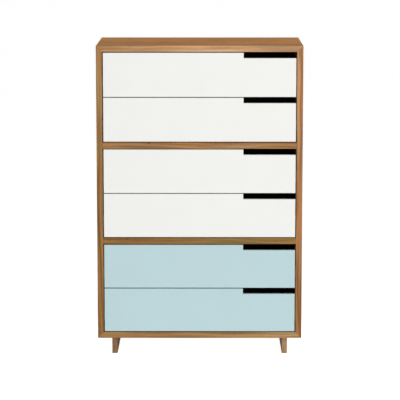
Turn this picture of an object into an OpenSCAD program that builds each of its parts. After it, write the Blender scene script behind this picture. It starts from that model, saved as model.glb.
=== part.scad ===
// Tall chest of drawers: a mitred timber case in three sections on two runner boards, with two flush
// drawers to a section on full-extension ball-bearing slides.
// The origin is on the floor under the middle of the case. +X is to the right, -Y to the front, +Z up.
// Drawers are numbered from the top. All sizes are in millimetres.

/* [Case] */
// Width of the case
case_w = 914; // [700:1:1200]
// Depth of the case
case_d = 508; // [500:1:620]
// Height of the case, without its base
case_h = 1314; // [1260:1:1500]
// Thickness of the outer panels and the dividers
panel_t = 27; // [20:1:30]
// Thickness of the back panel
back_t = 6; // [4:0.5:8]
// How far the back panel's rabbet is cut into each outer panel
rabbet_w = 10; // [6:0.5:12]
// Distance from the case's rear edges to the back panel
back_inset = 2; // [0:0.5:10]
// How far each mitred corner's sharp edge is taken off
corner_ease = 1; // [0.5:0.1:3]

/* [Base] */
// Height of a runner board
runner_h = 75; // [50:1:120]
// Thickness of a runner board
runner_t = 24; // [20:1:40]
// Distance from the case's side to the outer face of a runner board
runner_in = 63; // [40:1:150]
// Distance from the case's front and rear edges to the ends of a runner board
runner_setback = 20; // [0:1:60]
// Radius on the lower corners of a runner board's ends
runner_corner_r = 3; // [1:0.5:10]
// Diameter of a glide
glide_d = 20; // [12:1:20]
// How far a glide stands below its runner board
glide_h = 2; // [1:0.5:5]

/* [Drawer fronts] */
// Gap round every drawer front
gap = 4; // [2:0.5:5]
// Thickness of a drawer front
front_t = 18; // [16:1:22]
// Distance from the case's front edges to the drawer fronts
recess = 1.5; // [0:0.5:5]
// Width of the finger notch at the top right of a front
notch_w = 232; // [120:1:300]
// Depth of the finger notch
notch_h = 24; // [20:1:30]

/* [Drawer boxes] */
// Thickness of the box's front, sides and back
box_t = 12; // [10:0.5:15]
// Height of the box's sides
box_h = 150; // [100:1:150]
// Height of the box's lower edge above the front's
box_lift = 8; // [5:0.5:12]
// Thickness of the box's bottom
bottom_t = 6; // [4:0.5:6]
// Height of the bottom's groove above the box's lower edge
groove_up = 10; // [8:0.5:15]
// Depth of the bottom's groove
groove_d = 6; // [4:0.5:7]

/* [Slides] */
// Length of each rail
rail_l = 450; // [400:50:450]
// Space for a slide between a case side and a drawer box
slide_gap = 12.7; // [12.5:0.1:13.2]
// Height of a cabinet rail
rail_h = 45; // [40:1:50]
// Thickness of the rails' steel
rail_t = 1.2; // [1:0.1:1.4]
// Space for a row of balls between two rails
ball_gap = 3.3; // [3:0.1:3.5]
// Height of the slides' middle above the box's lower edge
rail_up = 60; // [40:1:100]

/* [Hidden] */
sections = 3;
drawers_each = 2;
drawer_count = sections * drawers_each;

case_z = runner_h + glide_h;
inner_w = case_w - 2 * panel_t;
rabbet_d = back_t + back_inset;
divider_d = case_d - rabbet_d;
section_pitch = (case_h - panel_t) / sections;
section_h = section_pitch - panel_t;

front_w = inner_w - 2 * gap;
front_h = (section_h - gap) / drawers_each - gap;
front_y = recess - case_d / 2;
behind_front_y = front_y + front_t;

box_w = inner_w - 2 * slide_gap;
box_l = rail_l;
box_in_w = box_w - 2 * box_t;
groove_h = bottom_t + 0.4;
bottom_play = 0.5;

rail_y = behind_front_y + 1;
lip = 0.9;
// Where each rail's web is and where its flanges end, measured from the case side
cabinet_web = 0;
cabinet_tip = 9.5;
middle_web = cabinet_web + rail_t + 1.4;
middle_tip = slide_gap - rail_t - 0.5;
drawer_web = slide_gap;
drawer_tip = middle_web + rail_t + 1.7;
rail_step = 2 * (rail_t + ball_gap);

runner_l = case_d - 2 * runner_setback;
glide_end = 20;
glide_pin_d = 4;
glide_pin_l = 14;
screw_d = 5;
screw_l = 60;
screw_head_d = 10;
screw_hole_d = 5.5;
screw_rows = 3;
screw_pitch = 180;

past = 1;
smooth = 48;

wood = "#a9774b";
end_wood = "#b98a5e";
white_lacquer = "#f3f4f0";
aqua_lacquer = "#c1dadd";
dark_laminate = "#2b2a29";
zinc = "#b9bcc0";
nylon = "#4a4643";

// A drawer's section and its place in that section, both counted from below
function section_of(n) = sections - ceil(n / drawers_each);
function place_in_section(n) = drawers_each - 1 - (n - 1) % drawers_each;
// Lower edge of a drawer's front, and of its box
function front_z(n) =
    case_z + panel_t + gap + section_of(n) * section_pitch + place_in_section(n) * (front_h + gap);
function box_z(n) = front_z(n) + box_lift;
function divider_z(row) = case_z + row * section_pitch;
function front_colour(n) = section_of(n) == 0 ? aqua_lacquer : white_lacquer;
function drawer_node(n, piece) = str("drawer_", n, "_", piece);

case_nodes = [
    "top_panel", "bottom_panel", "left_side_panel", "right_side_panel", "upper_divider", "lower_divider",
    "back_panel", "left_runner", "right_runner", "runner_screws", "foot_glides", "cabinet_rails"
];
drawer_pieces = [
    "front", "box_front", "left_side", "right_side", "box_back", "box_bottom", "drawer_rails",
    "middle_rails"
];

// Shared shapes

// Extrudes an outline drawn in X and Z from y0 towards the back
module run_back(y0, length) {
    translate([0, y0 + length, 0]) rotate([90, 0, 0]) linear_extrude(length) children();
}

// Draws a left-hand shape and its mirror image
module both_sides() {
    children();
    mirror([1, 0, 0]) children();
}

// A box centred on X
module centred_box(w, y0, l, z0, h) {
    translate([-w / 2, y0, z0]) cube([w, l, h]);
}

// Case

module back_rabbet() {
    centred_box(
        inner_w + 2 * rabbet_w, case_d / 2 - rabbet_d, rabbet_d + past,
        case_z + panel_t - rabbet_w, case_h - 2 * panel_t + 2 * rabbet_w
    );
}

// A horizontal outer panel: its long face at z_out, its short face at z_in, its ends mitred
module mitred_panel(z_out, z_in) {
    half = case_w / 2;
    ease = corner_ease / 2;
    eased_z = z_out + sign(z_in - z_out) * ease;
    difference() {
        run_back(-case_d / 2, case_d) polygon([
            [-half + 2 * ease, z_out], [half - 2 * ease, z_out], [half - ease, eased_z],
            [inner_w / 2, z_in], [-inner_w / 2, z_in], [-half + ease, eased_z]
        ]);
        back_rabbet();
    }
}

module top_panel() {
    color(wood) mitred_panel(case_z + case_h, case_z + case_h - panel_t);
}

module bottom_panel() {
    color(wood) difference() {
        mitred_panel(case_z, case_z + panel_t);
        both_sides() runner_screw_places() screw_hole();
    }
}

module left_side_panel() {
    outer_x = -case_w / 2;
    ease = corner_ease / 2;
    top_z = case_z + case_h;
    color(wood) difference() {
        run_back(-case_d / 2, case_d) polygon([
            [outer_x, case_z + 2 * ease], [outer_x + ease, case_z + ease],
            [-inner_w / 2, case_z + panel_t], [-inner_w / 2, top_z - panel_t],
            [outer_x + ease, top_z - ease], [outer_x, top_z - 2 * ease]
        ]);
        back_rabbet();
    }
}

module right_side_panel() {
    mirror([1, 0, 0]) left_side_panel();
}

module divider(row) {
    color(wood) centred_box(inner_w, -case_d / 2, divider_d, divider_z(row), panel_t);
}

module back_panel() {
    color(wood) centred_box(
        inner_w + 2 * rabbet_w - past, case_d / 2 - rabbet_d, back_t,
        case_z + panel_t - rabbet_w + past / 2, case_h - 2 * panel_t + 2 * rabbet_w - past
    );
}

// Base

// Middle line of the left runner board
runner_x = runner_in - case_w / 2 + runner_t / 2;

module runner_screw_places() {
    for (i = [0 : screw_rows - 1]) {
        translate([runner_x, (i - (screw_rows - 1) / 2) * screw_pitch, case_z + panel_t]) children();
    }
}

// A countersunk wood screw, its head's face at the origin and its point down
module runner_screw() {
    head_h = (screw_head_d - screw_d) / 2;
    rotate_extrude($fn = smooth) polygon([
        [0, 0], [screw_head_d / 2, 0], [screw_d / 2, -head_h], [screw_d / 2, screw_d - screw_l],
        [0, -screw_l]
    ]);
}

// The countersunk clearance hole for it in the case bottom
module screw_hole() {
    head_h = (screw_head_d - screw_hole_d) / 2;
    rotate_extrude($fn = smooth) polygon([
        [0, past], [screw_head_d / 2, past], [screw_head_d / 2, 0], [screw_hole_d / 2, -head_h],
        [screw_hole_d / 2, -panel_t - past], [0, -panel_t - past]
    ]);
}

module glide_places() {
    for (end = [-1, 1]) {
        translate([runner_x, end * (runner_l / 2 - glide_end), 0]) children();
    }
}

// A nail-on glide: a disc with a chamfered edge and a pin above it
module glide() {
    edge = glide_h / 2;
    rotate_extrude($fn = smooth) polygon([
        [0, 0], [glide_d / 2 - edge, 0], [glide_d / 2, edge], [glide_d / 2, glide_h],
        [glide_pin_d / 2, glide_h], [glide_pin_d / 2, glide_h + glide_pin_l - glide_pin_d / 2],
        [0, glide_h + glide_pin_l]
    ]);
}

// Side view of a runner board: square above, its lower corners rounded
module runner_outline() {
    half = runner_l / 2;
    r = runner_corner_r;
    translate([-half, glide_h + r]) square([runner_l, runner_h - r]);
    translate([r - half, glide_h]) square([runner_l - 2 * r, r]);
    for (x = [r - half, half - r]) {
        translate([x, glide_h + r]) circle(r, $fn = smooth);
    }
}

module left_runner() {
    color(end_wood) difference() {
        translate([runner_x - runner_t / 2, 0, 0]) rotate([90, 0, 90]) linear_extrude(runner_t)
            runner_outline();
        runner_screw_places() runner_screw();
        glide_places() glide();
    }
}

module right_runner() {
    mirror([1, 0, 0]) left_runner();
}

module runner_screws() {
    color(zinc) both_sides() runner_screw_places() runner_screw();
}

module foot_glides() {
    color(nylon) both_sides() glide_places() glide();
}

// Slides

// End view of a rail: a web at web_u and flanges that end at tip_u, with a lip that turns out or in
module rail_outline(web_u, tip_u, h, lip_out) {
    way = sign(tip_u - web_u);
    lip_h = rail_t + lip;
    lip_z = h / 2 - rail_t - (lip_out ? 0 : lip);
    translate([min(web_u, web_u + way * rail_t), -h / 2]) square([rail_t, h]);
    for (up = [0, 1]) {
        mirror([0, up]) {
            translate([min(web_u, tip_u), h / 2 - rail_t]) square([abs(tip_u - web_u), rail_t]);
            translate([min(tip_u, tip_u - way * rail_t), lip_z]) square([rail_t, lip_h]);
        }
    }
}

// Both of a drawer's rails of one kind
module rail_pair(n, web_u, tip_u, h, lip_out) {
    color(zinc) both_sides() translate([-inner_w / 2, 0, box_z(n) + rail_up])
        run_back(rail_y, rail_l) rail_outline(web_u, tip_u, h, lip_out);
}

module cabinet_rails() {
    for (n = [1 : drawer_count]) {
        rail_pair(n, cabinet_web, cabinet_tip, rail_h, false);
    }
}

module middle_rails(n) {
    rail_pair(n, middle_web, middle_tip, rail_h - rail_step, true);
}

module drawer_rails(n) {
    rail_pair(n, drawer_web, drawer_tip, rail_h - 2 * rail_step, true);
}

// Drawers

module drawer_front(n) {
    color(front_colour(n)) translate([0, 0, front_z(n)]) run_back(front_y, front_t) polygon([
        [-front_w / 2, 0], [front_w / 2, 0], [front_w / 2, front_h - notch_h],
        [front_w / 2 - notch_w, front_h - notch_h], [front_w / 2 - notch_w, front_h],
        [-front_w / 2, front_h]
    ]);
}

// The space that the bottom panel's grooves take out of the box's front and sides
module bottom_groove(n) {
    centred_box(
        box_in_w + 2 * groove_d, behind_front_y + box_t - groove_d, box_l,
        box_z(n) + groove_up, groove_h
    );
}

module box_front(n) {
    color(dark_laminate) difference() {
        centred_box(box_in_w, behind_front_y, box_t, box_z(n), box_h);
        bottom_groove(n);
    }
}

module box_left_side(n) {
    color(dark_laminate) difference() {
        translate([-box_w / 2, behind_front_y, box_z(n)]) cube([box_t, box_l, box_h]);
        bottom_groove(n);
    }
}

module box_right_side(n) {
    mirror([1, 0, 0]) box_left_side(n);
}

// The back stands on the bottom panel, which slides in under it
module box_back(n) {
    above = groove_up + bottom_t;
    color(dark_laminate) centred_box(
        box_in_w, behind_front_y + box_l - box_t, box_t, box_z(n) + above, box_h - above
    );
}

module box_bottom(n) {
    front_edge = behind_front_y + box_t - groove_d + bottom_play;
    color(dark_laminate) centred_box(
        box_in_w + 2 * (groove_d - bottom_play), front_edge, behind_front_y + box_l - front_edge,
        box_z(n) + groove_up, bottom_t
    );
}

top_panel();
bottom_panel();
left_side_panel();
right_side_panel();
divider(sections - 1);  // upper_divider
divider(1);  // lower_divider
back_panel();
left_runner();
right_runner();
runner_screws();
foot_glides();
cabinet_rails();
for (n = [1 : drawer_count]) {
    drawer_front(n);
    box_front(n);
    box_left_side(n);
    box_right_side(n);
    box_back(n);
    box_bottom(n);
    drawer_rails(n);
    middle_rails(n);
}
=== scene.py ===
import math

import bmesh
import bpy
from mathutils import Matrix, Vector


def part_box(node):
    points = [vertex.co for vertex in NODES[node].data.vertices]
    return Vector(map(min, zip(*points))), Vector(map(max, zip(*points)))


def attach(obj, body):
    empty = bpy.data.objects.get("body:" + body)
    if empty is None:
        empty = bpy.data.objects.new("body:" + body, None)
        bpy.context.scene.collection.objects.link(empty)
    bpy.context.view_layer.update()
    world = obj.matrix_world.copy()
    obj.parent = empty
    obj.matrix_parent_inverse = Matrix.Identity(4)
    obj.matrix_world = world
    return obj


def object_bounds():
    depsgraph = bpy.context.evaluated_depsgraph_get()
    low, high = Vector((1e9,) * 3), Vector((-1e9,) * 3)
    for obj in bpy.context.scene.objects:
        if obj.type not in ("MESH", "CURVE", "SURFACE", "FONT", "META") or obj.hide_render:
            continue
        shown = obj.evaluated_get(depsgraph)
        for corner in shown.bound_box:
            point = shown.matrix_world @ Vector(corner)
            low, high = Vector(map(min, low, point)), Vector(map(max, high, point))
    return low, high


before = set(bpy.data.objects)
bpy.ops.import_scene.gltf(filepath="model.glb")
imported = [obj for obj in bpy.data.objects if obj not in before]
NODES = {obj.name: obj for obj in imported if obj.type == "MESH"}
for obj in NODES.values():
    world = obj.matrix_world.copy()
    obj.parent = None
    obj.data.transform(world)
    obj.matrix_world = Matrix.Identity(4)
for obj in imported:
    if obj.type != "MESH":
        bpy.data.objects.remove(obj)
CAD_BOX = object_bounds()

# All lengths are in metres.
MM = 0.001
DRAWERS = range(1, 7)
WHITE_DRAWERS = range(1, 5)


# Colours


def linear(red, green, blue):
    """A colour given in sRGB's 0 to 255, as the shaders take it."""

    def channel(value):
        value /= 255
        return value / 12.92 if value <= 0.04045 else ((value + 0.055) / 1.055) ** 2.4

    return channel(red), channel(green), channel(blue), 1.0


def scaled(colour, *factors):
    """A colour with its red, green and blue multiplied."""
    return tuple(c * f for c, f in zip(colour, factors)) + (1.0,)


# Materials


class Graph:
    """A material's nodes, written as calls. Each value is a number, a tuple or another node's output."""

    def __init__(self, name):
        self.material = bpy.data.materials.new(name)
        self.material.use_nodes = True
        self.tree = self.material.node_tree
        self.surface = self.tree.nodes["Principled BSDF"]
        self.place = self.node("TexCoord").outputs["Object"]

    def put(self, socket, value):
        """Links an output to a socket, or sets the socket to a plain value."""
        if isinstance(value, bpy.types.NodeSocket):
            self.tree.links.new(value, socket)
        else:
            socket.default_value = value

    def node(self, kind, settings=(), **inputs):
        """A new shader node. An underscore in an input's name stands for a space."""
        made = self.tree.nodes.new("ShaderNode" + kind)
        for key, value in dict(settings).items():
            setattr(made, key, value)
        for key, value in inputs.items():
            self.put(made.inputs[key.replace("_", " ")], value)
        return made

    def math(self, operation, *values):
        made = self.node("Math", {"operation": operation})
        for socket, value in zip(made.inputs, values):
            self.put(socket, value)
        return made.outputs[0]

    def total(self, first, *rest):
        for value in rest:
            first = self.math("ADD", first, value)
        return first

    def times(self, value, factor):
        return self.math("MULTIPLY", value, factor)

    def length(self, x, y):
        """How long the line from the origin to (x, y) is."""
        return self.math("SQRT", self.total(self.math("POWER", x, 2.0), self.math("POWER", y, 2.0)))

    def mix(self, low, high, factor):
        made = self.node("Mix", {"data_type": "RGBA"})
        self.put(made.inputs[0], factor)
        self.put(made.inputs[6], low)
        self.put(made.inputs[7], high)
        return made.outputs[2]

    def tinted(self, colour, tint):
        """A colour with its red, green and blue multiplied by tint's."""
        made = self.node("Mix", {"data_type": "RGBA", "blend_type": "MULTIPLY"})
        self.put(made.inputs[0], 1.0)
        self.put(made.inputs[6], colour)
        self.put(made.inputs[7], tint + (1.0,))
        return made.outputs[2]

    def blend(self, low, high, factor):
        """Like mix, for numbers."""
        made = self.node("Mix", {"data_type": "FLOAT"})
        self.put(made.inputs[0], factor)
        self.put(made.inputs[2], low)
        self.put(made.inputs[3], high)
        return made.outputs[0]

    def ramp(self, value, start, end):
        """0 below start, 1 above end, smooth between."""
        made = self.node("MapRange", {"interpolation_type": "SMOOTHSTEP"}, Value=value)
        made.inputs[1].default_value = start
        made.inputs[2].default_value = end
        return made.outputs[0]

    def vector(self, x, y, z):
        return self.node("CombineXYZ", X=x, Y=y, Z=z).outputs[0]

    def axes(self, where):
        return self.node("SeparateXYZ", Vector=where).outputs

    def noise(self, where, detail=2.0, roughness=0.5, scale=1.0):
        """Noise from about 0 to 1, with a mean of 0.5."""
        made = self.node("TexNoise", Vector=where, Scale=scale, Detail=detail, Roughness=roughness)
        return made.outputs[0]

    def grain(self, place, fine, long, detail=2.0, roughness=0.5):
        """Noise drawn out along the grain: place is across, through and along, and fine and long are how
        quickly it changes across and along."""
        across, through, along = place
        where = self.vector(self.times(across, fine), self.times(through, fine), self.times(along, long))
        return self.noise(where, detail, roughness)

    def finish(self, colour, roughness, height=None, depth=0.0, metallic=0.0, specular=0.5):
        """The material, its surface set. height, from 0 to 1, is its relief, and depth how deep that is."""
        self.put(self.surface.inputs["Base Color"], colour)
        self.put(self.surface.inputs["Roughness"], roughness)
        self.put(self.surface.inputs["Metallic"], metallic)
        self.put(self.surface.inputs["Specular IOR Level"], specular)
        if height is not None:
            bump = self.node("Bump", Strength=1.0, Distance=depth, Height=height)
            self.put(self.surface.inputs["Normal"], bump.outputs[0])
        return self.material


X, Y, Z = 0, 1, 2

# A panel's wide, thin and long directions
LYING = (Y, Z, X)
STANDING = (Y, X, Z)
BACK_BOARD = (X, Y, Z)
RUNNING_BACK = (Z, X, Y)

RING_WIDTH = 3.6 * MM
RING_TILT = 0.018
PITH_DEPTH = 55 * MM


def veneer(g, wide, thin, along, seed, leaf):
    """Veneer leaves, each leaf wide, laid side by side: their figure, 0 where dark and 1 where light, then
    their fibres, their pores and the dark late wood of their growth rings."""
    leaf_at = g.math("DIVIDE", g.total(wide, seed * 3.137), leaf)
    chance = g.node("TexWhiteNoise", {"noise_dimensions": "1D"}, W=g.math("FLOOR", leaf_at)).outputs[0]
    across = g.times(g.math("SUBTRACT", g.math("FRACT", leaf_at), g.blend(-0.9, 0.5, chance)), leaf)
    through = g.total(thin, PITH_DEPTH)
    lengthwise = g.total(along, seed * 5.731, g.times(chance, 3.0))
    place = (across, through, lengthwise)

    # The rings lie round a pith below the face that tilts and wanders, so they cut the face in long arches
    depth = g.total(through, g.times(lengthwise, RING_TILT), g.times(g.grain(place, 3.0, 0.9, 1.0), 0.03))
    radius = g.total(
        g.length(across, depth),
        g.times(g.grain(place, 40.0, 3.0), 0.002),
    )
    late_wood = g.math("POWER", g.math("FRACT", g.math("DIVIDE", radius, RING_WIDTH)), 4.0)
    zone = g.noise(g.vector(g.times(radius, 55.0), seed, g.times(lengthwise, 0.3)), 2.0, 0.6)
    streak = g.grain(place, 26.0, 0.7, 3.0)
    fibre = g.grain(place, 520.0, 7.0, 3.0, 0.6)
    pore = g.ramp(g.grain(place, 1500.0, 42.0, 1.0), 0.60, 0.70)
    figure = g.total(
        -0.83,
        zone,
        g.times(streak, 0.8),
        g.times(fibre, 0.75),
        g.times(chance, 0.16),
        g.times(late_wood, -0.20),
        g.times(pore, -0.28),
    )
    return g.ramp(figure, -0.25, 1.05), fibre, pore, late_wood


def edging(g, wide, thin, along, seed, tones, knot, fibre, pore):
    """The colour of solid edging with straight grain. tones is (start, end, middle, length): it turns from
    start to end over that length round the middle. knot is a pin knot's place, along the panel and across
    its edge."""
    start, end, middle, length = tones
    lengthwise = g.total(along, seed * 5.731)
    bend = g.noise(g.vector(seed, 0.0, g.times(lengthwise, 2.0)), 1.0, 0.5)
    place = (wide, g.total(thin, g.times(bend, 0.045)), lengthwise)
    band = g.grain(place, 75.0, 2.2, 1.0)
    line = g.grain(place, 230.0, 3.0, 2.0)
    hue = g.grain(place, 60.0, 3.5, 1.0)
    tone = g.mix(start, end, g.ramp(along, middle - length / 2, middle + length / 2))
    warm, cool = g.tinted(tone, (1.07, 0.98, 0.90)), g.tinted(tone, (0.94, 1.02, 1.08))
    tone = g.mix(warm, cool, g.ramp(hue, 0.35, 0.65))
    fine = g.total(-0.055, g.times(fibre, 0.28), g.times(pore, -0.12))
    shade = g.ramp(g.total(g.times(band, 0.55), g.times(line, 0.3), fine), 0.36, 0.64)
    colour = g.mix(g.tinted(tone, (0.68, 0.62, 0.53)), g.tinted(tone, (1.28, 1.34, 1.42)), shade)
    if knot:
        aside = g.times(g.math("SUBTRACT", along, knot[0]), 0.5)
        up = g.math("SUBTRACT", thin, knot[1])
        outside = g.ramp(g.length(aside, up), 1.0 * MM, 4.0 * MM)
        colour = g.mix(g.tinted(tone, (0.38, 0.32, 0.24)), colour, outside)
    return colour


def wood(name, way, seed, face, tones=None, knot=None, leaf=0.17, satin=0.70, painted_shade=None):
    """Oiled hardwood whose grain runs along the panel: veneer on its faces and, if it has tones for it,
    solid edging in front. Its last argument, (axis, distance), darkens what lies nearer to 0 on that axis:
    painted shade."""
    g = Graph(name)
    axes = g.axes(g.place)
    wide, thin, along = (axes[i] for i in way)
    figure, fibre, pore, late_wood = veneer(g, wide, thin, along, seed, leaf)
    colour = g.mix(scaled(face, 0.50, 0.44, 0.36), scaled(face, 1.42, 1.48, 1.56), figure)
    if tones:
        in_front = g.math("LESS_THAN", axes[Y], EDGING_BACK)
        colour = g.mix(colour, edging(g, wide, thin, along, seed, tones, knot, fibre, pore), in_front)
    # Painted shade: faces near 0 on this axis are darkened where shade falls under the case.
    if painted_shade:
        axis, distance = painted_shade
        inside = g.math("LESS_THAN", g.math("ABSOLUTE", axes[axis]), distance)
        painted_shade_tone = g.mix(scaled(face, 0.14, 0.13, 0.12), scaled(face, 0.24, 0.22, 0.20), figure)
        colour = g.mix(colour, painted_shade_tone, inside)
    roughness = g.total(satin - 0.1, g.times(pore, 0.25), g.times(fibre, 0.2))
    height = g.total(g.times(fibre, 0.5), g.times(pore, -0.8), g.times(late_wood, 0.25))
    return g.finish(colour, roughness, height, 0.05 * MM, specular=0.10)


def lacquer(name, colour):
    """Sprayed satin lacquer: even, with a faint orange peel and the slow unevenness of the board below."""
    g = Graph(name)
    cloud = g.noise(g.place, 3.0, 0.5, 7.0)
    peel = g.noise(g.place, 2.0, 0.5, 420.0)
    swell = g.noise(g.place, 1.0, 0.5, 18.0)
    grit = g.noise(g.place, 1.0, 0.5, 2600.0)
    tone = g.mix(scaled(colour, 0.975, 0.975, 0.975), scaled(colour, 1.015, 1.015, 1.015), cloud)
    height = g.total(g.times(peel, 0.035), g.times(swell, 0.30), g.times(grit, 0.004))
    roughness = g.total(0.33, g.times(peel, 0.06))
    return g.finish(tone, roughness, height, 1.0 * MM)


def laminate(name, colour):
    """Matt charcoal laminate with a fine leathery emboss."""
    g = Graph(name)
    fleck = g.noise(g.place, 2.0, 0.6, 900.0)
    emboss = g.noise(g.place, 2.0, 0.5, 1500.0)
    haze = g.noise(g.place, 3.0, 0.5, 6.0)
    lightness = g.total(g.times(fleck, 0.7), g.times(haze, 0.3))
    tone = g.mix(scaled(colour, 0.7, 0.7, 0.7), scaled(colour, 1.5, 1.5, 1.5), lightness)
    return g.finish(tone, g.total(0.50, g.times(emboss, 0.16)), emboss, 0.03 * MM, specular=0.4)


def plated_steel(name):
    """Zinc-plated strip steel, with the fine lines of rolling along it."""
    g = Graph(name)
    axes = g.axes(g.place)
    lines = g.grain((axes[X], axes[Z], axes[Y]), 1800.0, 9.0, 3.0, 0.6)
    bloom = g.noise(g.place, 3.0, 0.55, 60.0)
    lightness = g.total(g.times(lines, 0.5), g.times(bloom, 0.5))
    tone = g.mix(linear(168, 171, 176), linear(214, 214, 210), lightness)
    roughness = g.total(0.22, g.times(lines, 0.14), g.times(bloom, 0.10))
    return g.finish(tone, roughness, lines, 0.01 * MM, metallic=1.0)


def screw_steel(name):
    """Zinc plating on screws, mottled."""
    g = Graph(name)
    mottle = g.noise(g.place, 3.0, 0.6, 700.0)
    tone = g.mix(linear(150, 152, 154), linear(206, 206, 200), mottle)
    return g.finish(tone, g.total(0.26, g.times(mottle, 0.16)), mottle, 0.01 * MM, metallic=1.0)


def bright_steel(name):
    """Polished ball steel."""
    g = Graph(name)
    smear = g.noise(g.place, 2.0, 0.5, 1500.0)
    tone = g.mix(linear(190, 192, 196), linear(224, 225, 228), smear)
    return g.finish(tone, g.total(0.08, g.times(smear, 0.06)), metallic=1.0)


def moulded(name, colour, roughness):
    """Moulded plastic with a spark-eroded texture."""
    g = Graph(name)
    texture = g.noise(g.place, 2.0, 0.6, 2200.0)
    cloud = g.noise(g.place, 2.0, 0.5, 90.0)
    tone = g.mix(scaled(colour, 0.8, 0.8, 0.8), scaled(colour, 1.25, 1.25, 1.25), cloud)
    return g.finish(tone, g.total(roughness, g.times(texture, 0.12)), texture, 0.02 * MM)


FACE = linear(158, 114, 74)
SIDE_FACE = linear(160, 115, 75)
EDGING_BACK = CAD_BOX[0].y + 1.4 * MM
HALF_WIDTH = CAD_BOX[1].x
# Painted shade: the runners' inner faces and the bottom panel's underside lie in shade under the case and are
# darkened.
RUNNER_INSIDE_SHADE = (X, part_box("right_runner")[0].x + 0.1 * MM)
UNDERSIDE_SHADE = (Z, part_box("bottom_panel")[0].z + 0.1 * MM)

MATERIALS = {
    "top_panel": wood(
        "teak_top", LYING, 11, linear(160, 107, 51),
        (linear(181, 138, 95), linear(199, 160, 124), 0.0, 2 * HALF_WIDTH),
    ),
    "bottom_panel": wood(
        "teak_bottom", LYING, 82, FACE,
        (linear(152, 115, 73), linear(165, 130, 86), 0.15, 1.2 * HALF_WIDTH),
        painted_shade=UNDERSIDE_SHADE,
    ),
    "left_side_panel": wood(
        "teak_left", STANDING, 3, SIDE_FACE,
        (linear(143, 104, 61), linear(158, 120, 75), 1.06, 0.16),
    ),
    "right_side_panel": wood(
        "teak_right", STANDING, 4, SIDE_FACE,
        (linear(149, 100, 58), linear(176, 131, 92), 0.75, 1.3),
    ),
    "upper_divider": wood(
        "teak_upper_divider", LYING, 115, FACE,
        (linear(162, 119, 77), linear(158, 119, 79), 0.1, HALF_WIDTH),
        knot=(-0.225, 0.959),
    ),
    "lower_divider": wood(
        "teak_lower_divider", LYING, 66, FACE,
        (linear(147, 105, 57), linear(147, 113, 65), -0.1, HALF_WIDTH),
        knot=(-0.324, 0.529),
    ),
    "back_panel": wood("teak_back", BACK_BOARD, 7, scaled(FACE, 0.88, 0.86, 0.84), leaf=0.22, satin=0.58),
    "left_runner": wood(
        "teak_left_runner", RUNNING_BACK, 8, linear(130, 95, 67), leaf=0.4, painted_shade=RUNNER_INSIDE_SHADE
    ),
    "right_runner": wood(
        "teak_right_runner", RUNNING_BACK, 9, linear(155, 121, 86), leaf=0.4, painted_shade=RUNNER_INSIDE_SHADE
    ),
}
WHITE = lacquer("white_satin_lacquer", linear(241, 242, 238))
AQUA = lacquer("aqua_satin_lacquer", linear(187, 213, 217))
CHARCOAL = laminate("charcoal_laminate", linear(44, 42, 41))
STEEL = plated_steel("zinc_plated_steel")
SCREW = screw_steel("zinc_plated_screw")
BALL = bright_steel("ball_steel")
CAGE = moulded("cage_plastic", linear(58, 60, 62), 0.42)
NYLON = moulded("glide_nylon", linear(74, 70, 67), 0.46)

BOX_PANELS = ("box_front", "left_side", "right_side", "box_back", "box_bottom")
for n in DRAWERS:
    MATERIALS[f"drawer_{n}_front"] = WHITE if n in WHITE_DRAWERS else AQUA
    for panel in BOX_PANELS:
        MATERIALS[f"drawer_{n}_{panel}"] = CHARCOAL
    MATERIALS[f"drawer_{n}_drawer_rails"] = STEEL
    MATERIALS[f"drawer_{n}_middle_rails"] = STEEL
MATERIALS["cabinet_rails"] = STEEL
MATERIALS["runner_screws"] = SCREW
MATERIALS["foot_glides"] = NYLON


# Edges


def square_edge_marker():
    """Modifier nodes that mark the outward edges between faces at right angles, for a bevel to round."""
    group = bpy.data.node_groups.new("square_edges", "GeometryNodeTree")
    group.interface.new_socket("Mesh", in_out="INPUT", socket_type="NodeSocketGeometry")
    group.interface.new_socket("Mesh", in_out="OUTPUT", socket_type="NodeSocketGeometry")
    add, link = group.nodes.new, group.links.new
    source, result = add("NodeGroupInput"), add("NodeGroupOutput")
    angle = add("GeometryNodeInputMeshEdgeAngle")
    is_square = add("FunctionNodeCompare")
    is_square.data_type, is_square.operation = "FLOAT", "EQUAL"
    link(angle.outputs["Signed Angle"], is_square.inputs["A"])
    is_square.inputs["B"].default_value = math.pi / 2
    is_square.inputs["Epsilon"].default_value = math.radians(12)
    store = add("GeometryNodeStoreNamedAttribute")
    store.data_type, store.domain = "FLOAT", "EDGE"
    store.inputs["Name"].default_value = "bevel_weight_edge"
    link(is_square.outputs[0], store.inputs["Value"])
    link(source.outputs[0], store.inputs["Geometry"])
    link(store.outputs[0], result.inputs[0])
    return group


SQUARE_EDGES = square_edge_marker()


def weld(obj, name):
    """Merges points that lie on each other, or so near that the faces between them are slivers."""
    obj.modifiers.new(name, "WELD").merge_threshold = 0.01 * MM


def soften(obj, radius, segments=2):
    """Rounds an object's square edges by that radius."""
    weld(obj, "joined_faces")
    flat = obj.modifiers.new("flat_faces", "DECIMATE")
    flat.decimate_type = "DISSOLVE"
    flat.angle_limit = math.radians(1)
    mark = obj.modifiers.new("square_edges", "NODES")
    mark.node_group = SQUARE_EDGES
    bevel = obj.modifiers.new("rounding", "BEVEL")
    bevel.limit_method = "WEIGHT"
    bevel.width = radius
    bevel.segments = segments
    weld(obj, "no_slivers")
    normals = obj.modifiers.new("normals", "WEIGHTED_NORMAL")
    normals.keep_sharp = True


PANEL_RADIUS = 0.7 * MM
FRONT_RADIUS = 0.9 * MM
BOX_RADIUS = 0.5 * MM
STEEL_RADIUS = 0.3 * MM


def radius_of(node):
    if "rails" in node or "screws" in node:
        return STEEL_RADIUS
    if node.endswith("_front") and "box" not in node:
        return FRONT_RADIUS
    return BOX_RADIUS if node.startswith("drawer") or node == "back_panel" else PANEL_RADIUS


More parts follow.
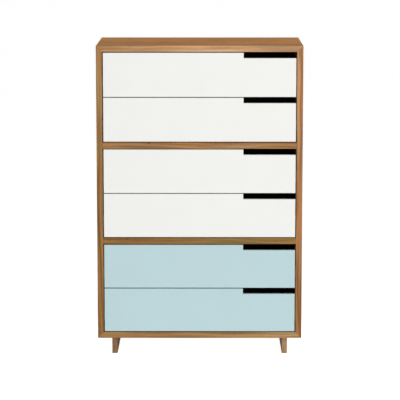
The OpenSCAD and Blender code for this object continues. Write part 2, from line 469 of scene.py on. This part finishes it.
for node, obj in NODES.items():
    obj.data.materials.clear()
    obj.data.materials.append(MATERIALS[node])
    if node in ("foot_glides", "runner_screws"):
        weld(obj, "joined_faces")
    else:
        soften(obj, radius_of(node))


# Small pieces


def new_piece(name, mesh, material, body):
    """An object of the chest that rides on a body."""
    obj = bpy.data.objects.new(name, mesh)
    bpy.context.collection.objects.link(obj)
    mesh.materials.append(material)
    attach(obj, body)
    return obj


def turned(profile, steps=32):
    """A solid turned round Z from (radius, height) points that start and end on the axis."""
    form = bmesh.new()
    rings = []
    for radius, height in profile:
        if radius == 0:
            rings.append([form.verts.new((0, 0, height))])
            continue
        turn = [2 * math.pi * i / steps for i in range(steps)]
        rings.append([form.verts.new((radius * math.cos(a), radius * math.sin(a), height)) for a in turn])
    for low, high in zip(rings, rings[1:]):
        for i in range(steps):
            j = (i + 1) % steps
            corners = [low[i % len(low)], low[j % len(low)], high[j % len(high)], high[i % len(high)]]
            form.faces.new(list(dict.fromkeys(corners)))
    bmesh.ops.recalc_face_normals(form, faces=form.faces)
    return form


def cross_recess(head_radius, top, deep):
    """The tapered cross that a screwdriver fits, to be cut out of a head."""
    form = bmesh.new()
    reach, half = head_radius * 0.56, head_radius * 0.13
    outline = []
    for quarter in range(4):
        turn = Matrix.Rotation(quarter * math.pi / 2, 3, "Z")
        outline += [turn @ Vector(p) for p in ((reach, -half, 0), (reach, half, 0), (half, half, 0))]
    upper = [form.verts.new(p + Vector((0, 0, top + MM))) for p in outline]
    lower = [form.verts.new(Vector((p.x * 0.62, p.y * 0.62, top - deep))) for p in outline]
    form.faces.new(upper)
    form.faces.new(lower[::-1])
    for i in range(len(outline)):
        j = (i + 1) % len(outline)
        form.faces.new([upper[i], lower[i], lower[j], upper[j]])
    bmesh.ops.recalc_face_normals(form, faces=form.faces)
    return form


def cut(form, cutter):
    """The mesh of one closed form with another taken out of it."""
    made = []
    for part in (form, cutter):
        mesh = bpy.data.meshes.new("cutting")
        part.to_mesh(mesh)
        part.free()
        obj = bpy.data.objects.new("cutting", mesh)
        bpy.context.collection.objects.link(obj)
        made.append(obj)
    whole, tool = made
    difference = whole.modifiers.new("cut", "BOOLEAN")
    difference.operation, difference.object = "DIFFERENCE", tool
    weld(whole, "no_slivers")
    shown = whole.evaluated_get(bpy.context.evaluated_depsgraph_get())
    result = bpy.data.meshes.new_from_object(shown)
    for obj in made:
        bpy.data.objects.remove(obj)
    return result


def pan_head_screw(head_radius, head_height, shank_radius, length):
    """A pan-head screw, its head standing on z = 0."""
    r, h = head_radius, head_height
    profile = [
        (0, -length), (shank_radius, shank_radius * 2 - length), (shank_radius, 0), (r * 0.96, 0),
        (r, h * 0.18), (r * 0.985, h * 0.45), (r * 0.90, h * 0.72), (r * 0.74, h * 0.90),
        (r * 0.48, h * 0.985), (0, h),
    ]
    return cut(turned(profile), cross_recess(r, h, h * 0.75))


def countersunk_screw(head_radius, shank_radius, length):
    """A countersunk screw, its flat head's face at z = 0."""
    r = head_radius
    profile = [
        (0, -length), (shank_radius, shank_radius * 2 - length), (shank_radius, shank_radius - r),
        (r, -0.12 * MM), (r * 0.985, 0), (0, 0),
    ]
    return cut(turned(profile), cross_recess(r, 0, r * 0.5))


SLIDE_SCREW = pan_head_screw(3.4 * MM, 1.25 * MM, 1.6 * MM, 11 * MM)
BOARD_SCREW = pan_head_screw(3.8 * MM, 2.2 * MM, 1.7 * MM, 22 * MM)
FRONT_SCREW = pan_head_screw(4.6 * MM, 2.6 * MM, 2.0 * MM, 25 * MM)
BOTTOM_SCREW = countersunk_screw(3.6 * MM, 1.6 * MM, 20 * MM)

SCREW_TURN = 0.83


def screws(name, template, places, body, material=SCREW):
    """One piece with a screw at each (place, outward direction) of its head."""
    form = bmesh.new()
    for count, (place, outward) in enumerate(places):
        start = len(form.verts)
        form.from_mesh(template)
        form.verts.ensure_lookup_table()
        aim = Vector(outward).to_track_quat("Z", "Y").to_matrix().to_4x4()
        spin = Matrix.Rotation(count * SCREW_TURN, 4, "Z")
        bmesh.ops.transform(form, matrix=Matrix.Translation(place) @ aim @ spin, verts=form.verts[start:])
    mesh = bpy.data.meshes.new(name)
    form.to_mesh(mesh)
    form.free()
    mesh.shade_smooth()
    mesh.set_sharp_from_angle(angle=math.radians(35))
    return new_piece(name, mesh, material, body)


# Fastenings of the back panel and of each drawer

BACK_LOW, BACK_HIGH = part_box("back_panel")
BACK_SCREW_INSET = 5.5 * MM
BACK_SCREW_PITCH = 150 * MM
DIVIDER_SCREW_INSET = 90 * MM


def evenly(low, high, pitch):
    """Places from low to high, both included, about pitch apart."""
    spaces = max(1, round((high - low) / pitch))
    return [low + (high - low) * i / spaces for i in range(spaces + 1)]


def back_screw_places():
    """The back panel's screws, round its edge and along both dividers."""
    left, right = BACK_LOW.x + BACK_SCREW_INSET, BACK_HIGH.x - BACK_SCREW_INSET
    low, high = BACK_LOW.z + BACK_SCREW_INSET, BACK_HIGH.z - BACK_SCREW_INSET
    rows = [(low, 0), (high, 0)]
    for divider in ("upper_divider", "lower_divider"):
        under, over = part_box(divider)
        rows.append(((under.z + over.z) / 2, DIVIDER_SCREW_INSET))
    spots = [(x, z) for z, inset in rows for x in evenly(left + inset, right - inset, BACK_SCREW_PITCH)]
    spots += [(x, z) for x in (left, right) for z in evenly(low, high, BACK_SCREW_PITCH)[1:-1]]
    return [((x, BACK_HIGH.y, z), (0, 1, 0)) for x, z in spots]


screws("back_panel_screws", BOARD_SCREW, back_screw_places(), "case")

FRONT_SCREW_ACROSS = (-0.33, -0.11, 0.11, 0.33)
FRONT_SCREW_UP = (0.045, 0.115)
BOTTOM_SCREW_ACROSS = (-0.3, 0.0, 0.3)
RAIL_SCREW_ALONG = (0.035, 0.19, 0.30, 0.42)
RAIL_THICKNESS = 1.2 * MM
CABINET_WALL_X = -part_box("upper_divider")[0].x


def rail_screw_places(rail_x, rail_z, rail_y, facing):
    """Screw places on both slides of a drawer, rail_x from the middle. The heads face outward if facing is 1
    and the middle if it is -1."""
    return [
        ((side * rail_x, rail_y + along, rail_z), (side * facing, 0, 0))
        for side in (-1, 1) for along in RAIL_SCREW_ALONG
    ]


def fasten_drawer(n):
    """Makes the screws that ride on a drawer. Gives its slides' middle height and where their front is."""
    body = f"drawer_{n}"
    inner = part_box(f"drawer_{n}_box_front")
    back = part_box(f"drawer_{n}_box_back")
    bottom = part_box(f"drawer_{n}_box_bottom")
    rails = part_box(f"drawer_{n}_drawer_rails")
    spots = [(x, inner[0].z + z) for x in FRONT_SCREW_ACROSS for z in FRONT_SCREW_UP]
    inside = [((x, inner[1].y, z), (0, 1, 0)) for x, z in spots]
    screws(f"drawer_{n}_front_screws", FRONT_SCREW, inside, body)
    back_y = (back[0].y + back[1].y) / 2
    under = [((x, back_y, bottom[0].z), (0, 0, -1)) for x in BOTTOM_SCREW_ACROSS]
    screws(f"drawer_{n}_bottom_screws", BOTTOM_SCREW, under, body)
    rail_z = (rails[0].z + rails[1].z) / 2
    web_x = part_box(f"drawer_{n}_right_side")[1].x + RAIL_THICKNESS
    places = rail_screw_places(web_x, rail_z, rails[0].y, 1)
    screws(f"drawer_{n}_rail_screws", SLIDE_SCREW, places, body)
    return rail_z, rails[0].y


# Slides: a cage of balls runs between each two rails

CAGE_LENGTH = 222 * MM
CAGE_THICKNESS = 0.4 * MM
CAGE_START = 2 * MM
BALL_RADIUS = 1.6 * MM
BALL_PITCH = 12 * MM
# Distances from the case side, and from the slide's middle line: the cage's web, its tips and its balls
OUTER_CAGE = {"web": 1.7 * MM, "tip": 7.6 * MM, "ball": 5.6 * MM, "row": 19.65 * MM}
INNER_CAGE = {"web": 4.3 * MM, "tip": 9.8 * MM, "ball": 8.9 * MM, "row": 15.15 * MM}


def cage_mesh(name, sizes, middle_z, start_y):
    """Both cages of a drawer between two of its rails: a bent strip, with its flanges on the ball rows."""
    half, t = sizes["row"] + CAGE_THICKNESS / 2, CAGE_THICKNESS
    web, tip = sizes["web"], sizes["tip"]
    outline = [(web, -half), (tip, -half), (tip, t - half), (web + t, t - half)]
    outline += [(x, -z) for x, z in reversed(outline)]
    form = bmesh.new()
    for side in (-1, 1):
        ends = []
        for y in (start_y, start_y + CAGE_LENGTH):
            ends.append([form.verts.new((side * (CABINET_WALL_X - x), y, middle_z + z)) for x, z in outline])
        front, back = ends
        form.faces.new(front)
        form.faces.new(back[::-1])
        for i in range(len(outline)):
            j = (i + 1) % len(outline)
            form.faces.new([front[i], back[i], back[j], front[j]])
    bmesh.ops.recalc_face_normals(form, faces=form.faces)
    mesh = bpy.data.meshes.new(name)
    form.to_mesh(mesh)
    form.free()
    return mesh


def ball_mesh(name, sizes, middle_z, start_y):
    """The balls in both of those cages, two rows in each."""
    form = bmesh.new()
    count = int(CAGE_LENGTH / BALL_PITCH)
    first = start_y + (CAGE_LENGTH - (count - 1) * BALL_PITCH) / 2
    for side in (-1, 1):
        for row in (-1, 1):
            for i in range(count):
                x = side * (CABINET_WALL_X - sizes["ball"])
                place = Matrix.Translation((x, first + i * BALL_PITCH, middle_z + row * sizes["row"]))
                bmesh.ops.create_icosphere(form, subdivisions=2, radius=BALL_RADIUS, matrix=place)
    mesh = bpy.data.meshes.new(name)
    form.to_mesh(mesh)
    form.free()
    mesh.shade_smooth()
    return mesh


cabinet_screw_places = []
for n in DRAWERS:
    middle_z, rail_y = fasten_drawer(n)
    cabinet_screw_places += rail_screw_places(CABINET_WALL_X - RAIL_THICKNESS, middle_z, rail_y, -1)
    for place, sizes, body in (("outer", OUTER_CAGE, "case"), ("inner", INNER_CAGE, f"middle_rails_{n}")):
        start_y = rail_y + CAGE_START
        cages = cage_mesh(f"drawer_{n}_{place}_ball_cages", sizes, middle_z, start_y)
        new_piece(f"drawer_{n}_{place}_ball_cages", cages, CAGE, body)
        balls = ball_mesh(f"drawer_{n}_{place}_balls", sizes, middle_z, start_y)
        new_piece(f"drawer_{n}_{place}_balls", balls, BALL, body)
screws("cabinet_rail_screws", SLIDE_SCREW, cabinet_screw_places, "case")


# Stage, light and camera

FLOOR_RADIUS = 60.0
FLOOR_GLOW = 0.48
PAINTED_LIGHT_UNDER_CHEST = 0.95
# Where the stronger glow starts and where it is full, from the middle and from the front
GLOW_ROUND = (0.9, 0.3)
GLOW_BEHIND = (-0.38, -0.26)


def make_floor():
    """A white floor that glows with painted light, more strongly under the chest and behind it, where the
    glow is painted light that fills the chest's shadow."""
    form = bmesh.new()
    bmesh.ops.create_circle(form, cap_ends=True, segments=96, radius=FLOOR_RADIUS)
    mesh = bpy.data.meshes.new("floor")
    form.to_mesh(mesh)
    form.free()
    g = Graph("white_floor_painted_glow")
    cloud = g.noise(g.place, 2.0, 0.5, 3.0)
    g.put(g.surface.inputs["Emission Color"], (1.0, 1.0, 1.0, 1.0))
    axes = g.axes(g.place)
    shaded = g.times(g.ramp(g.length(axes[X], axes[Y]), *GLOW_ROUND), g.ramp(axes[Y], *GLOW_BEHIND))
    # Painted light: the floor's emission rises where the chest's shadow falls, so the floor stays white
    # there.
    g.put(g.surface.inputs["Emission Strength"], g.blend(FLOOR_GLOW, PAINTED_LIGHT_UNDER_CHEST, shaded))
    tone = g.mix((0.84, 0.84, 0.84, 1), (0.86, 0.86, 0.86, 1), cloud)
    mesh.materials.append(g.finish(tone, 0.6, specular=0.2))
    floor = bpy.data.objects.new("floor", mesh)
    bpy.context.collection.objects.link(floor)


def make_light(name, place, target, size, power):
    """A round soft light aimed at the target."""
    data = bpy.data.lights.new(name, "AREA")
    data.shape, data.size, data.energy = "DISK", size, power
    light = bpy.data.objects.new(name, data)
    light.location = place
    light.rotation_mode = "QUATERNION"
    light.rotation_quaternion = (Vector(target) - Vector(place)).to_track_quat("-Z", "Y")
    bpy.context.collection.objects.link(light)


def make_world(horizon, overhead):
    """A white studio, bright at the horizon and softer overhead."""
    world = bpy.data.worlds.new("studio")
    world.use_nodes = True
    tree = world.node_tree
    place = tree.nodes.new("ShaderNodeTexCoord")
    axes = tree.nodes.new("ShaderNodeSeparateXYZ")
    fade = tree.nodes.new("ShaderNodeMapRange")
    fade.interpolation_type = "SMOOTHSTEP"
    fade.inputs["From Min"].default_value = 0.08
    fade.inputs["From Max"].default_value = 0.45
    fade.inputs["To Min"].default_value = horizon
    fade.inputs["To Max"].default_value = overhead
    tree.links.new(place.outputs["Generated"], axes.inputs[0])
    tree.links.new(axes.outputs["Z"], fade.inputs["Value"])
    background = tree.nodes["Background"]
    background.inputs["Color"].default_value = (1.0, 1.0, 1.0, 1.0)
    tree.links.new(fade.outputs[0], background.inputs["Strength"])
    bpy.context.scene.world = world


def make_camera(place, pitch, yaw, lens):
    """The camera, tilted down by pitch and turned left by yaw."""
    data = bpy.data.cameras.new("camera")
    data.lens, data.sensor_width = lens, 36.0
    data.clip_end = 200.0
    camera = bpy.data.objects.new("camera", data)
    camera.location = place
    look = Vector((-math.sin(yaw) * math.cos(pitch), math.cos(yaw) * math.cos(pitch), -math.sin(pitch)))
    camera.rotation_mode = "QUATERNION"
    camera.rotation_quaternion = look.to_track_quat("-Z", "Y")
    bpy.context.collection.objects.link(camera)
    bpy.context.scene.camera = camera


make_floor()
make_world(horizon=1.0, overhead=0.55)
make_light("key", place=(2.6, -4.2, 3.2), target=(0, 0, 0.7), size=2.4, power=32)
make_light("overhead", place=(0.4, -0.6, 5.0), target=(0, 0, CAD_BOX[1].z), size=2.4, power=34)
make_camera(place=(0.033, -9.0, 2.062), pitch=math.radians(8.82), yaw=math.radians(0.2045), lens=179.06)
bpy.context.scene.view_settings.view_transform = "Standard"
